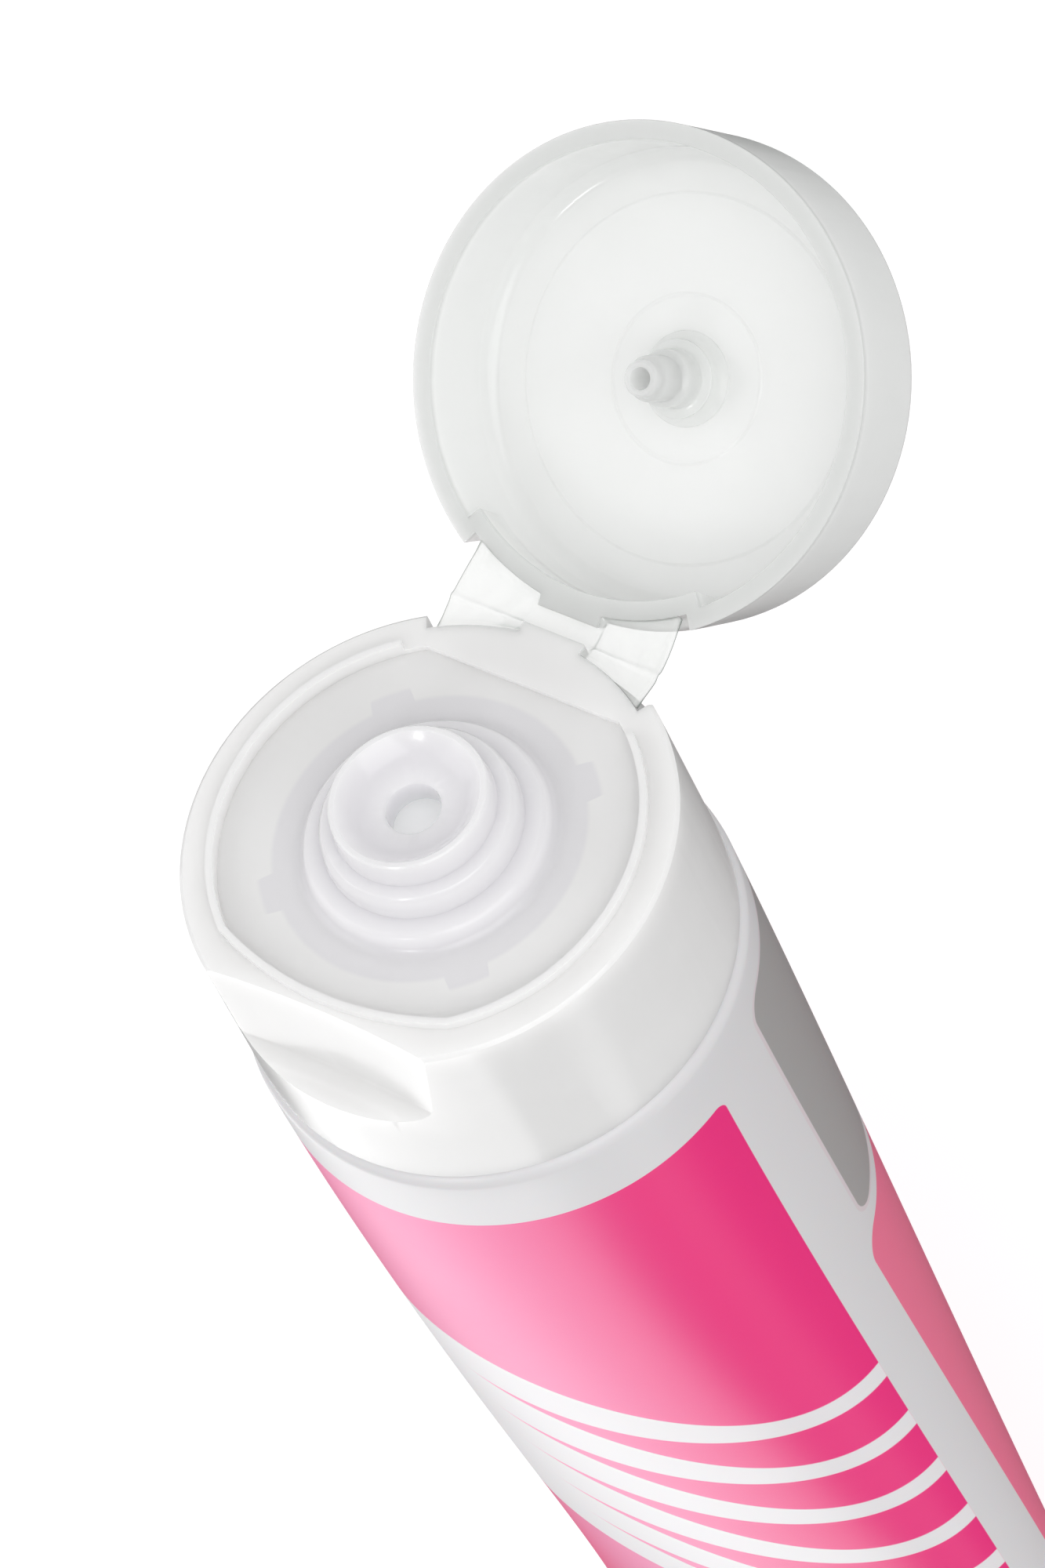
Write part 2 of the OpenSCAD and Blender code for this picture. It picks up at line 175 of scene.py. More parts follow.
def stage():
    world = bpy.data.worlds.new("studio")
    bpy.context.scene.world = world
    world.use_nodes = True
    net = Net(world.node_tree)
    net.tree.nodes.clear()
    glow = glow_by_ray(net, camera=1.0, mirrored=0.3, through=1.0, other=0.55)
    sky = net.add("ShaderNodeBackground", ((1, 1, 1, 1), glow))
    net.add("ShaderNodeOutputWorld", (sky.outputs[0],))

    bm = bmesh.new()
    bmesh.ops.create_grid(bm, x_segments=1, y_segments=1, size=4)
    mesh = bpy.data.meshes.new("floor")
    bm.to_mesh(mesh)
    bm.free()
    floor = placed("floor", mesh)
    material = bpy.data.materials.new("white_sweep")
    material.use_nodes = True
    net = Net(material.node_tree)
    net.tree.nodes.clear()
    matt = net.add("ShaderNodeBsdfDiffuse", {"Color": (0.22, 0.22, 0.22, 1)})
    # The floor past the sealed end shows bright in the sleeve's gloss
    x = net.add("ShaderNodeSeparateXYZ", (net.add("ShaderNodeTexCoord").outputs["Object"],)).outputs[0]
    far = net.ramp(x, -0.30, -0.12, 0.9, 0.0)
    glow = glow_by_ray(net, camera=0.9, mirrored=far, through=0.9, other=0.58)
    light = net.add("ShaderNodeEmission", ((1, 1, 1, 1), glow))
    both = net.add("ShaderNodeAddShader", (matt.outputs[0], light.outputs[0]))
    net.add("ShaderNodeOutputMaterial", (both.outputs[0],))
    mesh.materials.append(material)


def softbox(name, at, aim, size, power):
    data = bpy.data.lights.new(name, "AREA")
    data.shape = "RECTANGLE"
    data.size, data.size_y = size
    data.energy = power
    lamp = placed(name, data)
    away = (Vector(at) - Vector(aim)).normalized()
    lamp.matrix_world = Matrix.Translation(at) @ away.to_track_quat("Z", "Y").to_matrix().to_4x4()


aimed_camera()
stage()
softbox("key_box", at=(0.30, 0.65, 0.55), aim=(0, 0, 0.03), size=(0.8, 0.6), power=1.5)
softbox("front_box", at=(0.58, -0.52, 0.5), aim=(0.02, 0, 0.03), size=(0.8, 0.8), power=3.4)
softbox("back_box", at=(-0.64, 0.22, 0.19), aim=(0, 0, 0.03), size=(1.0, 0.36), power=1.9)
softbox("top_box", at=(0.17, -0.04, 0.75), aim=(0.07, 0, 0.04), size=(0.12, 0.12), power=0.45)


# Shader groups

def new_group(name, ins, outs):
    """A shader group with named sockets: each input has its default, and each output its type."""
    tree = bpy.data.node_groups.new(name, "ShaderNodeTree")
    kinds = {float: "NodeSocketFloat", tuple: "NodeSocketVector"}
    for label, value in ins.items():
        socket = tree.interface.new_socket(label, in_out="INPUT", socket_type=kinds[type(value)])
        socket.default_value = value
    for label, kind in outs.items():
        tree.interface.new_socket(label, in_out="OUTPUT", socket_type=kind)
    net = Net(tree)
    return net, net.add("NodeGroupInput").outputs, net.add("NodeGroupOutput").inputs


def group_node(net, group, **values):
    node = net.add("ShaderNodeGroup", node_tree=group)
    for label, value in values.items():
        net.put(node.inputs[label.replace("_", " ").title()], value)
    return node.outputs


def make_print_field():
    """Mask of a rounded rectangle of ink. Place and sizes are in millimetres on the sleeve."""
    net, ins, outs = new_group(
        "print_field",
        {"Place": (0.0, 0.0, 0.0), "Centre": (0.0, 0.0, 0.0), "Half Size": (10.0, 10.0, 0.0),
         "Corner": 1.0, "Edge": 0.08},
        {"Mask": "NodeSocketFloat"})
    corner = net.add("ShaderNodeCombineXYZ", (ins["Corner"], ins["Corner"], 0.0)).outputs[0]

    def vector(operation, *values):
        return net.add("ShaderNodeVectorMath", values, operation=operation)

    offset = vector("SUBTRACT", ins["Place"], ins["Centre"]).outputs[0]
    reach = vector("ABSOLUTE", offset).outputs[0]
    past = vector("ADD", vector("SUBTRACT", reach, ins["Half Size"]).outputs[0], corner).outputs[0]
    outer = vector("LENGTH", vector("MAXIMUM", past, (0, 0, 0)).outputs[0]).outputs["Value"]
    parts = net.add("ShaderNodeSeparateXYZ", (past,)).outputs
    inner = net.math("MINIMUM", net.math("MAXIMUM", parts[0], parts[1]), 0.0)
    distance = net.math("SUBTRACT", net.math("ADD", outer, inner), ins["Corner"])
    net.put(outs["Mask"], net.ramp(net.math("DIVIDE", distance, ins["Edge"]), -0.5, 0.5, 1.0, 0.0))
    return net.tree


def make_handling():
    """Faint smears and fine grain of a handled plastic surface: an offset for roughness, and a height."""
    net, ins, outs = new_group(
        "handling", {"Place": (0.0, 0.0, 0.0), "Smear": 0.06, "Grain": 1.0},
        {"Roughness": "NodeSocketFloat", "Height": "NodeSocketFloat"})
    cloud = net.add("ShaderNodeTexNoise", {"Vector": ins["Place"], "Scale": 60.0, "Detail": 3.0}).outputs[0]
    peel = net.add("ShaderNodeTexNoise", {"Vector": ins["Place"], "Scale": 2500.0, "Detail": 2.0}).outputs[0]
    net.put(outs["Roughness"], net.math("MULTIPLY", net.math("SUBTRACT", cloud, 0.5), ins["Smear"]))
    net.put(outs["Height"], net.math("MULTIPLY", peel, ins["Grain"]))
    return net.tree


print_field = make_print_field()
handling = make_handling()


# Materials

def new_material(name):
    material = bpy.data.materials.new(name)
    material.use_nodes = True
    net = Net(material.node_tree)
    net.tree.nodes.clear()
    shader = net.add("ShaderNodeBsdfPrincipled")
    net.add("ShaderNodeOutputMaterial", (shader.outputs[0],))
    return material, net, shader.inputs


def object_place(net):
    return net.add("ShaderNodeTexCoord").outputs["Object"]


def touch(net, shader, place, roughness, depth):
    """Roughness and fine relief from the handling group, its depth in metres."""
    worn = group_node(net, handling, place=place, smear=0.08, grain=1.0)
    net.put(shader["Roughness"], net.math("ADD", worn["Roughness"], roughness, clamp=True))
    bump = net.add("ShaderNodeBump", {"Strength": 0.25, "Distance": depth, "Height": worn["Height"]})
    net.put(shader["Normal"], bump.outputs[0])


# The first pink is the printed pink made paler by a painted highlight, for the middle of the front panel
HIGHLIGHT_PINK = (0.97, 0.17, 0.43, 1)
PINK = (0.93, 0.001, 0.21, 1)
BACK_PINK = (0.93, 0.18, 0.32, 1)
SLEEVE_WHITE = (0.75, 0.74, 0.755, 1)
WAVE_WHITE = (0.86, 0.84, 0.86, 1)
BOX_GREY = (0.40, 0.39, 0.385, 1)
PANEL_HALF_W = 26.2
PANEL_TOP = -21.9
BACK_EDGE = 30.5
BOX_EDGE = 31.6
BOX_TOP, BOX_FOOT = -19.2, -48.6
PRINT_FOOT = LOFT_END + 3
BOX_LINE = 0.35
LINE_PINK = (0.74, 0.66, 0.69, 1)

# The ribbons: sizes in millimetres on the sleeve, and half widths as a share of the lane
RIBBONS = 6
RIBBON_LANE = 7.0
RIBBON_TOP = -53.0
RIBBON_LEAN = -0.12
RIBBON_SWELL = 7.0
RIBBON_TURN, RIBBON_PHASE = 0.085, 0.9
RIBBON_THIN, RIBBON_MERGED = 0.14, 0.52
THIN_AT, MERGED_AT = -22.0, 9.0
RIBBON_EDGE = 0.012


def make_printed_sleeve():
    """White laminate with a pink front panel that has a painted highlight down its middle, a pink back panel and a
    grey box beside its top.
    """
    material, net, shader = new_material("printed_sleeve")
    uv = net.add("ShaderNodeUVMap", uv_map="girth").outputs[0]
    parts = net.add("ShaderNodeSeparateXYZ", (uv,)).outputs
    round_mm = net.math("MULTIPLY", net.math("SUBTRACT", 0.5, parts[0]), 2 * HALF_GIRTH)
    along_mm = net.math("ADD", net.math("MULTIPLY", parts[1], SLEEVE_LEN), TUBE_END)
    side_mm = net.math("ABSOLUTE", round_mm)
    front = net.add("ShaderNodeCombineXYZ", (round_mm, along_mm, 0.0)).outputs[0]
    folded = net.add("ShaderNodeCombineXYZ", (side_mm, along_mm, 0.0)).outputs[0]

    def field(place, left, right, foot, top, corner):
        return group_node(net, print_field, place=place, corner=corner,
                          centre=((left + right) / 2, (foot + top) / 2, 0),
                          half_size=((right - left) / 2, (top - foot) / 2, 0))["Mask"]

    front_panel = field(front, -PANEL_HALF_W, PANEL_HALF_W, PRINT_FOOT, PANEL_TOP, 0.9)
    back_panel = field(folded, BACK_EDGE, 2 * HALF_GIRTH - BACK_EDGE, PRINT_FOOT, BOX_FOOT - 1.4, 2.2)
    grey_line = field(folded, BOX_EDGE, 2 * HALF_GIRTH - BOX_EDGE, BOX_FOOT, BOX_TOP, 2.2)
    grey_box = field(folded, BOX_EDGE + BOX_LINE, 2 * HALF_GIRTH - BOX_EDGE - BOX_LINE,
                     BOX_FOOT + BOX_LINE, BOX_TOP - BOX_LINE, 1.9)

    # Ribbons that flow out of one white field at one side of the front panel
    swell = net.math("SINE", net.math("MULTIPLY_ADD", round_mm, RIBBON_TURN, RIBBON_PHASE))
    slope = net.math("MULTIPLY_ADD", round_mm, RIBBON_LEAN, RIBBON_TOP)
    crest = net.math("MULTIPLY_ADD", swell, RIBBON_SWELL, slope)
    lane = net.math("DIVIDE", net.math("SUBTRACT", crest, along_mm), RIBBON_LANE)
    lane_mid = net.math("ABSOLUTE", net.math("SUBTRACT", net.math("FRACT", lane), 0.5))
    width = net.ramp(round_mm, THIN_AT, MERGED_AT, RIBBON_THIN, RIBBON_MERGED)
    ribbon = net.ramp(net.math("SUBTRACT", lane_mid, width), -RIBBON_EDGE, RIBBON_EDGE, 1.0, 0.0)
    within = net.math("MULTIPLY", net.math("GREATER_THAN", lane, 0.0), net.math("LESS_THAN", lane, float(RIBBONS)))
    waves = net.math("MULTIPLY", ribbon, within)

    # Painted highlight: the pink is pale in the middle of the panel and deepens to the printed pink at its sides, a
    # little unevenly
    place = object_place(net)
    drift = net.add("ShaderNodeTexNoise", {"Vector": place, "Scale": 22.0, "Detail": 1.0}).outputs[0]
    uneven = net.math("MULTIPLY_ADD", drift, 0.2, -0.1)
    past_highlight = net.math("ADD", net.ramp(side_mm, 1.0, 20.0), uneven, clamp=True)
    # ink holds the printed pink with the painted highlight in the panel's middle
    ink = net.blend(past_highlight, HIGHLIGHT_PINK, PINK)
    colour = net.blend(front_panel, SLEEVE_WHITE, ink)
    colour = net.blend(net.math("MULTIPLY", waves, front_panel), colour, WAVE_WHITE)
    colour = net.blend(back_panel, colour, BACK_PINK)
    colour = net.blend(grey_line, colour, LINE_PINK)
    colour = net.blend(grey_box, colour, BOX_GREY)
    net.put(shader["Base Color"], colour)
    touch(net, shader, place, roughness=0.36, depth=0.00002)
    shader["Specular IOR Level"].default_value = 0.8
    shader["Subsurface Weight"].default_value = 0.08
    shader["Subsurface Scale"].default_value = 0.001
    return material


def in_cap_mm(net, place):
    """Cap coordinates of a place, in millimetres."""
    offset = net.add("ShaderNodeVectorMath", (place, tuple(CAP_ORIGIN)), operation="SUBTRACT").outputs[0]
    along = [net.add("ShaderNodeVectorMath", (offset, tuple(axis)), operation="DOT_PRODUCT").outputs["Value"]
             for axis in (HINGEWARD, SIDE, OUT)]
    return [net.math("MULTIPLY", metres, 1 / MM) for metres in along]


NECK_LUGS = 4


def neck_shade(net, place):
    """Painted shade where the tube's neck and its lugs lie under the deck and show through it, from 0 to 1."""
    x, y, z = in_cap_mm(net, place)
    radius = net.math("SQRT", net.math("ADD", net.math("MULTIPLY", x, x), net.math("MULTIPLY", y, y)))
    angle = net.math("MULTIPLY_ADD", net.math("ARCTAN2", y, x), float(NECK_LUGS), math.pi)
    lug = net.ramp(net.math("COSINE", angle), 0.84, 0.90, 0.0, LUG_OUT)
    edge = net.math("SUBTRACT", radius, net.math("ADD", lug, NECK_R))
    return net.math("MULTIPLY", net.ramp(edge, -0.15, 0.3, 1.0, 0.0), net.ramp(z, -3.0, -1.2))


def rim_shade(net, place):
    """Painted shade where the lid's wall is seen from its end, from 0 to 1, by its height above the closed rim."""
    x, _, z = in_cap_mm(net, place)
    turn = math.radians(LID_OPEN)
    past_hinge = net.math("MULTIPLY", net.math("SUBTRACT", x, HINGE_X), math.sin(turn))
    over_hinge = net.math("MULTIPLY_ADD", net.math("SUBTRACT", z, HINGE_Z), math.cos(turn), HINGE_Z)
    return net.ramp(net.math("ADD", past_hinge, over_hinge), 0.25, 0.9, 1.0, 0.0)


def scaled(colour, share):
    """A colour with its channels multiplied, at most 1."""
    return tuple(min(1, channel * share) for channel in colour[:3]) + (1,)


# The grey of the painted shade where the neck lies under the deck
NECK_SHADE_GREY = (0.78, 0.77, 0.795, 1)


def make_milky_plastic(name, tint, roughness, clear, neck=0.0, rim=0.0):
    """Natural polypropylene: milky, a little clear, with a soft moulded gloss. neck and rim say how strongly
    the painted shade of the neck under the deck and the painted shade at the end of the lid's wall show."""
    material, net, shader = new_material(name)
    place = object_place(net)
    cloud = net.add("ShaderNodeTexNoise", {"Vector": place, "Scale": 90.0, "Detail": 2.0}).outputs[0]
    colour = net.blend(net.ramp(cloud, 0.35, 0.65), tint, scaled(tint, 1.03))
    if neck:
        # Painted shade where the neck and its lugs lie under the deck
        shade = net.math("MULTIPLY", neck_shade(net, place), neck)
        colour = net.blend(shade, colour, NECK_SHADE_GREY)
    if rim:
        # Painted shade: the lid's wall is darker towards its end
        shade = net.math("MULTIPLY", rim_shade(net, place), rim)
        colour = net.blend(shade, colour, scaled(tint, 0.64))
    net.put(shader["Base Color"], colour)
    touch(net, shader, place, roughness, depth=0.00001)
    shader["IOR"].default_value = 1.49
    shader["Subsurface Weight"].default_value = 1.0
    shader["Subsurface Radius"].default_value = (1.0, 1.0, 1.0)
    shader["Subsurface Scale"].default_value = clear
    return material


def make_hinge_film():
    """Thin clear film, a little whiter where it is creased, with painted shade that makes it greyer where it turns
    away.
    """
    material, net, shader = new_material("hinge_film")
    place = object_place(net)
    across = net.add("ShaderNodeMapping", {"Vector": place, "Scale": (60, 150, 60)}).outputs[0]
    crease = net.add("ShaderNodeTexNoise", {
        "Vector": across, "Scale": 1.0, "Detail": 2.0, "Distortion": 0.8}).outputs[0]
    white = net.ramp(crease, 0.50, 0.64)
    # Painted shade: the film's colour turns greyer where its face turns away from the view
    turned = net.ramp(net.add("ShaderNodeLayerWeight", {"Blend": 0.5}).outputs["Facing"], 0.35, 0.85)
    net.put(shader["Base Color"], net.blend(turned, (0.93, 0.945, 0.93, 1), (0.50, 0.56, 0.52, 1)))
    worn = group_node(net, handling, place=place, smear=0.1, grain=0.2)
    net.put(shader["Roughness"], net.math("ADD", worn["Roughness"], 0.10, clamp=True))
    bump = net.add("ShaderNodeBump", {"Strength": 0.6, "Distance": 0.0005, "Height": crease})
    net.put(shader["Normal"], bump.outputs[0])
    net.put(shader["Alpha"], net.math("MULTIPLY_ADD", turned, 0.45, net.ramp(white, 0.0, 1.0, 0.34, 0.56)))
    shader["IOR"].default_value = 1.49
    return material


def make_plain_plastic(name, colour, roughness):
    material, net, shader = new_material(name)
    place = object_place(net)
    cloud = net.add("ShaderNodeTexNoise", {"Vector": place, "Scale": 70.0, "Detail": 2.0}).outputs[0]
    net.put(shader["Base Color"], net.blend(net.ramp(cloud, 0.3, 0.7), colour, scaled(colour, 0.96)))
    touch(net, shader, place, roughness, depth=0.00001)
    return material


def make_glowing_gel():
    material, net, shader = new_material("clear_gel_painted_glow")
    place = object_place(net)
    bubbles = net.add("ShaderNodeTexVoronoi", {"Vector": place, "Scale": 220.0}).outputs["Distance"]
    net.put(shader["Base Color"], net.blend(net.ramp(bubbles, 0.05, 0.12), (1, 1, 1, 1), (0.93, 0.96, 0.97, 1)))
    net.put(shader["Roughness"], net.ramp(bubbles, 0.05, 0.15, 0.02, 0.06))
    shader["IOR"].default_value = 1.4
    shader["Transmission Weight"].default_value = 0.1
    shader["Subsurface Weight"].default_value = 1.0
    shader["Subsurface Radius"].default_value = (1.0, 1.0, 1.0)
    shader["Subsurface Scale"].default_value = 0.001
    # Painted light: the gel glows faintly, so the orifice over it looks lit
    shader["Emission Color"].default_value = (1, 1, 1, 1)
    shader["Emission Strength"].default_value = 0.2
    return material


printed_sleeve = make_printed_sleeve()
cap_plastic = make_milky_plastic("cap_plastic", (0.855, 0.85, 0.845, 1), 0.17, 0.002, neck=0.8)
lid_plastic = make_milky_plastic("lid_plastic", (0.80, 0.815, 0.80, 1), 0.15, 0.005, rim=0.8)
seal_plastic = make_plain_plastic("seal_plastic", SLEEVE_WHITE, 0.32)
film_plastic = make_hinge_film()
head_plastic = make_plain_plastic("head_plastic", (0.72, 0.72, 0.73, 1), 0.4)
gel = make_glowing_gel()


# Geometry trees

def new_tree(name, ins):
    """A geometry tree with named inputs; the first input and the output are the geometry."""
    tree = bpy.data.node_groups.new(name, "GeometryNodeTree")
    tree.interface.new_socket("Geometry", in_out="INPUT", socket_type="NodeSocketGeometry")
    for label, kind in ins.items():
        tree.interface.new_socket(label, in_out="INPUT", socket_type=kind)
    tree.interface.new_socket("Geometry", in_out="OUTPUT", socket_type="NodeSocketGeometry")
    net = Net(tree)
    return net, net.add("NodeGroupInput").outputs, net.add("NodeGroupOutput").inputs


def finished(net, geometry, material):
    """Every tree ends in Realize Instances and Set Material."""
    real = net.add("GeometryNodeRealizeInstances", (geometry,)).outputs[0]
    return net.add("GeometryNodeSetMaterial", {"Geometry": real, "Material": material}).outputs[0]


def grown(name, start, tree, sizes):
    """A piece with the plain mesh that a tree makes from a starting mesh."""
    piece = placed(name, start)
    grow = piece.modifiers.new("grow", "NODES")
    grow.node_group = tree
    for item in tree.interface.items_tree:
        if item.in_out == "INPUT" and item.name in sizes:
            grow[item.identifier] = sizes[item.name]
    settled_mesh(piece)
    return piece


def section_skin_tree():
    """A skin over oval sections, one for each point of a line with its half width and half thickness.
    Its columns are evenly spaced round the girth, and so is the girth map."""
    net, ins, outs = new_tree("section_skin", {
        "Columns": "NodeSocketInt", "Rings": "NodeSocketInt", "Map Foot": "NodeSocketFloat",
        "Map Length": "NodeSocketFloat", "Material": "NodeSocketMaterial"})
    oval = net.add("GeometryNodeCurvePrimitiveCircle", {"Resolution": 720, "Radius": 1.0}).outputs[0]

    def named(label):
        node = net.add("GeometryNodeInputNamedAttribute", data_type="FLOAT")
        node.inputs["Name"].default_value = label
        return node.outputs["Attribute"]

    scale = net.add("ShaderNodeCombineXYZ", (named("half_thick"), named("half_wide"), 1.0)).outputs[0]
    ovals = net.add("GeometryNodeInstanceOnPoints", {
        "Points": ins["Geometry"], "Instance": oval, "Scale": scale}).outputs[0]
    curves = net.add("GeometryNodeRealizeInstances", (ovals,)).outputs[0]
    even = net.add("GeometryNodeResampleCurve", {"Curve": curves, "Count": ins["Columns"]}).outputs[0]
    wide = net.math("ADD", ins["Columns"], 1)
    grid = net.add("GeometryNodeMeshGrid", {"Vertices X": wide, "Vertices Y": ins["Rings"]})
    index = net.add("GeometryNodeInputIndex").outputs[0]
    column = net.math("MODULO", net.math("FLOOR", net.math("DIVIDE", index, ins["Rings"])), ins["Columns"])
    ring = net.math("MODULO", index, ins["Rings"])
    source = net.math("MULTIPLY_ADD", ring, ins["Columns"], column)
    position = net.add("GeometryNodeInputPosition").outputs[0]
    sample = net.add("GeometryNodeSampleIndex", data_type="FLOAT_VECTOR", domain="POINT")
    net.put(sample.inputs["Geometry"], even)
    net.put(sample.inputs["Value"], position)
    net.put(sample.inputs["Index"], source)
    skin = net.add("GeometryNodeSetPosition", {
        "Geometry": grid.outputs["Mesh"], "Position": sample.outputs[0]}).outputs[0]
    height = net.add("ShaderNodeSeparateXYZ", (position,)).outputs[2]
    along = net.math("DIVIDE", net.math("SUBTRACT", height, ins["Map Foot"]), ins["Map Length"])
    round_share = net.add("ShaderNodeSeparateXYZ", (grid.outputs["UV Map"],)).outputs[0]
    store = net.add("GeometryNodeStoreNamedAttribute", data_type="FLOAT2", domain="CORNER")
    for label, value in (("Geometry", skin), ("Name", "girth"),
                         ("Value", net.add("ShaderNodeCombineXYZ", (round_share, along, 0.0)).outputs[0])):
        net.put(store.inputs[label], value)
    closed = net.add("GeometryNodeMergeByDistance", {"Geometry": store.outputs[0], "Distance": 1e-6}).outputs[0]
    smooth = net.add("GeometryNodeSetShadeSmooth", {"Geometry": closed}).outputs[0]
    net.put(outs[0], finished(net, smooth, ins["Material"]))
    return net.tree


def rib_row_tree():
    """A row of rounded ribs along a line, on both faces of a flat seal."""
    net, ins, outs = new_tree("rib_row", {
        "Ribs": "NodeSocketInt", "Row Width": "NodeSocketFloat", "Rib Length": "NodeSocketFloat",
        "Rib Radius": "NodeSocketFloat", "Face Height": "NodeSocketFloat", "Material": "NodeSocketMaterial"})
    gap = net.math("DIVIDE", ins["Row Width"], net.math("SUBTRACT", ins["Ribs"], 1))
    rows = []
    for face in (1, -1):
        height = net.math("MULTIPLY", ins["Face Height"], face)
        side = net.math("MULTIPLY", ins["Row Width"], -0.5)
        start = net.add("ShaderNodeCombineXYZ", (height, side, 0.0)).outputs[0]
        step = net.add("ShaderNodeCombineXYZ", (0.0, gap, 0.0)).outputs[0]
        rows.append(net.add("GeometryNodeMeshLine", {
            "Count": ins["Ribs"], "Start Location": start, "Offset": step}).outputs[0])
    both = net.add("GeometryNodeJoinGeometry")
    for row in rows:
        net.tree.links.new(row, both.inputs[0])
    capsule = net.add("GeometryNodeMeshUVSphere", {
        "Segments": 8, "Rings": 6, "Radius": ins["Rib Radius"]}).outputs[0]
    position = net.add("GeometryNodeInputPosition").outputs[0]
    z = net.add("ShaderNodeSeparateXYZ", (position,)).outputs[2]
    stretch = net.math("MULTIPLY", net.math("SIGN", z), net.math("MULTIPLY", ins["Rib Length"], 0.5))
    offset = net.add("ShaderNodeCombineXYZ", (0.0, 0.0, stretch)).outputs[0]
    rib = net.add("GeometryNodeSetPosition", {"Geometry": capsule, "Offset": offset}).outputs[0]
    placed = net.add("GeometryNodeInstanceOnPoints", {"Points": both.outputs[0], "Instance": rib}).outputs[0]
    smooth = net.add("GeometryNodeSetShadeSmooth", {"Geometry": placed}).outputs[0]
    net.put(outs[0], finished(net, smooth, ins["Material"]))
    return net.tree


section_skin = section_skin_tree()
rib_row = rib_row_tree()


# Sleeve

SHOULDER_STEPS = 10
LOFT_STEPS = 90
SLEEVE_COLUMNS = 240
SEAL_RIBS = 58


def half_thick(share):
    """Half thickness of the sleeve in millimetres, at a share of the way from the shoulder to the seal."""
    return SLEEVE_WALL + (TUBE_R - SLEEVE_WALL) * (1 - share ** FLATTEN_POWER)


def half_wide(thick):
    """Half width of an oval of that half thickness with the round tube's girth, found in a few rounds."""
    wide = 2 * TUBE_R - thick
    for _ in range(12):
        h = ((wide - thick) / (wide + thick)) ** 2
        wide = 2 * TUBE_R / (1 + 3 * h / (10 + math.sqrt(4 - 3 * h))) - thick
    return wide


def sleeve_stations():
    """(height, half width, half thickness) along the sleeve in millimetres, from the mouth to the seal."""
    stations = []
    for i in range(SHOULDER_STEPS):
        angle = math.radians(90) * (1 - i / SHOULDER_STEPS)
        radius = TUBE_R - SHOULDER_R + SHOULDER_R * math.cos(angle)
        stations.append((LOFT_TOP + SHOULDER_R * math.sin(angle), radius, radius))
    for i in range(LOFT_STEPS + 1):
        share = i / LOFT_STEPS
        thick = half_thick(share)
        stations.append((LOFT_TOP + (LOFT_END - LOFT_TOP) * share, half_wide(thick), thick))
    return stations


def line_of(stations, name):
    """A mesh line with a point for each station and its half sizes as attributes, in metres."""
    mesh = bpy.data.meshes.new(name)
    mesh.from_pydata([(0, 0, z * MM) for z, _, _ in stations], [(i, i + 1) for i in range(len(stations) - 1)], [])
    for label, column in (("half_wide", 1), ("half_thick", 2)):
        mesh.attributes.new(label, "FLOAT", "POINT").data.foreach_set("value", [s[column] * MM for s in stations])
    return mesh


def turn_out(mesh):
    bm = bmesh.new()
    bm.from_mesh(mesh)
    bmesh.ops.recalc_face_normals(bm, faces=bm.faces)
    bm.to_mesh(mesh)
    bm.free()


def settle(piece):
    """Applies the modifiers and moves the mesh from the cap axes to the row frame."""
    settled_mesh(piece).transform(CAP_AXES)


def make_sleeve():
    stations = sleeve_stations()
    sleeve = grown("printed_tube", line_of(stations, "sleeve_line"), section_skin, {
        "Columns": SLEEVE_COLUMNS, "Rings": len(stations), "Map Foot": TUBE_END * MM, "Map Length": SLEEVE_LEN * MM,
        "Material": printed_sleeve})
    turn_out(sleeve.data)
    wall = sleeve.modifiers.new("wall", "SOLIDIFY")
    wall.thickness = SLEEVE_WALL * MM * 0.98
    wall.offset = -1
    settle(sleeve)
    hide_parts("tube_sleeve")
    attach(sleeve, "tube")

    seal_wide = half_wide(SLEEVE_WALL)
    seal_half = SLEEVE_WALL + 0.04
    bm = bmesh.new()
    seal_mid = Matrix.Translation((0, 0, (LOFT_END + TUBE_END + 1) / 2 * MM))
    seal_size = Matrix.Diagonal((2 * seal_half * MM, 2 * seal_wide * MM, (SEAL_LEN + 1) * MM, 1))
    bmesh.ops.create_cube(bm, size=1, matrix=seal_mid @ seal_size)
    mesh = bpy.data.meshes.new("seal")
    bm.to_mesh(mesh)
    bm.free()
    mesh.materials.append(seal_plastic)
    mesh.shade_smooth()
    seal = placed("welded_seal", mesh)
    edge = seal.modifiers.new("edge", "BEVEL")
    edge.width = 0.3 * MM
    edge.segments = 4
    edge.harden_normals = True
    settle(seal)
    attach(seal, "tube")

    ribs = grown("seal_ribs", bpy.data.meshes.new("none"), rib_row, {
        "Ribs": SEAL_RIBS, "Row Width": 2 * (seal_wide - 1.2) * MM, "Rib Length": (SEAL_LEN - 1.6) * MM,
        "Rib Radius": 0.22 * MM, "Face Height": (seal_half - 0.12) * MM, "Material": seal_plastic})
    ribs.data.transform(Matrix.Translation((0, 0, (TUBE_END + SEAL_LEN / 2) * MM)))
    settle(ribs)
    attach(ribs, "tube")


make_sleeve()


# Cap and lid

